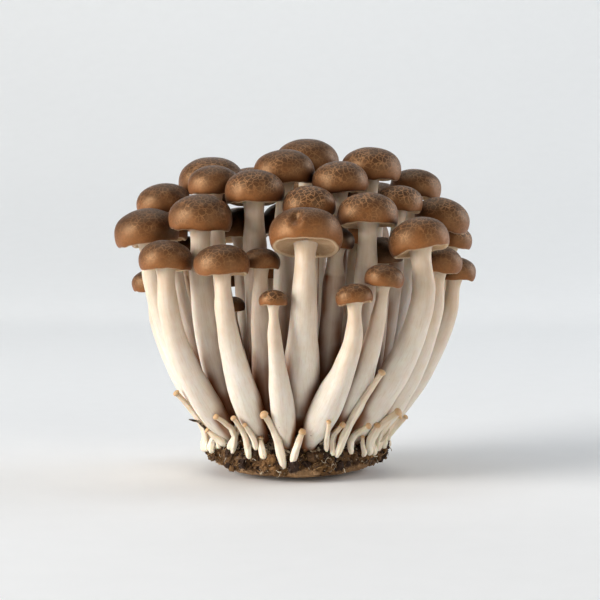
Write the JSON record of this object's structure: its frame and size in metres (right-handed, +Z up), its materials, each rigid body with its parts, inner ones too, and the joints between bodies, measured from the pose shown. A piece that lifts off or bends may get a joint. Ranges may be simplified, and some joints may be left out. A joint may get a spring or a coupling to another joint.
{
  "type": "beech mushroom cluster",
  "caption": "Cluster of brown-capped beech mushrooms with white stems, grown close together on a round plug of dark substrate.",
  "frame": {"origin": "middle of the plug's flat underside", "axes": "+Z up, from the plug to the caps; -Y towards the side with the one large dimpled cap in front, +X to its right"},
  "size_m": [0.1144, 0.102, 0.1055],
  "materials": {
    "mushroom_flesh": "satin, average of brown cap and cream stem",
    "pin_flesh": "matt cream",
    "substrate": "crumbly matt sawdust and peat",
    "cap_skin": "satin brown with darker mottled cells",
    "gills": "matt pale cream plates",
    "stem_flesh": "satin cream with fine lengthwise fibres",
    "mycelium": "matt felt"
  },
  "bodies": {
    "root": {"mushroom_01": "mushroom_flesh", "mushroom_02": "mushroom_flesh", "mushroom_03": "mushroom_flesh", "mushroom_04": "mushroom_flesh", "mushroom_05": "mushroom_flesh", "mushroom_06": "mushroom_flesh", "mushroom_07": "mushroom_flesh", "mushroom_08": "mushroom_flesh", "mushroom_09": "mushroom_flesh", "mushroom_10": "mushroom_flesh", "mushroom_11": "mushroom_flesh", "mushroom_12": "mushroom_flesh", "mushroom_13": "mushroom_flesh", "mushroom_14": "mushroom_flesh", "mushroom_15": "mushroom_flesh", "mushroom_16": "mushroom_flesh", "mushroom_17": "mushroom_flesh", "mushroom_18": "mushroom_flesh", "mushroom_19": "mushroom_flesh", "mushroom_20": "mushroom_flesh", "mushroom_21": "mushroom_flesh", "mushroom_22": "mushroom_flesh", "mushroom_23": "mushroom_flesh", "mushroom_24": "mushroom_flesh", "mushroom_25": "mushroom_flesh", "mushroom_26": "mushroom_flesh", "mushroom_27": "mushroom_flesh", "mushroom_28": "mushroom_flesh", "mushroom_29": "mushroom_flesh", "mushroom_30": "mushroom_flesh", "mushroom_31": "mushroom_flesh", "mushroom_32": "mushroom_flesh", "mushroom_33": "mushroom_flesh", "mushroom_34": "mushroom_flesh", "mushroom_35": "mushroom_flesh", "mushroom_36": "mushroom_flesh", "mushroom_37": "mushroom_flesh", "mushroom_38": "mushroom_flesh", "mushroom_39": "mushroom_flesh", "mushroom_40": "mushroom_flesh", "mushroom_41": "mushroom_flesh", "mushroom_42": "mushroom_flesh", "mushroom_43": "mushroom_flesh", "mushroom_44": "mushroom_flesh", "pin_01": "pin_flesh", "pin_02": "pin_flesh", "pin_03": "pin_flesh", "pin_04": "pin_flesh", "pin_05": "pin_flesh", "pin_06": "pin_flesh", "pin_07": "pin_flesh", "pin_08": "pin_flesh", "pin_09": "pin_flesh", "pin_10": "pin_flesh", "pin_11": "pin_flesh", "pin_12": "pin_flesh", "pin_13": "pin_flesh", "substrate_plug": "substrate"}
  },
  "joints": []
}
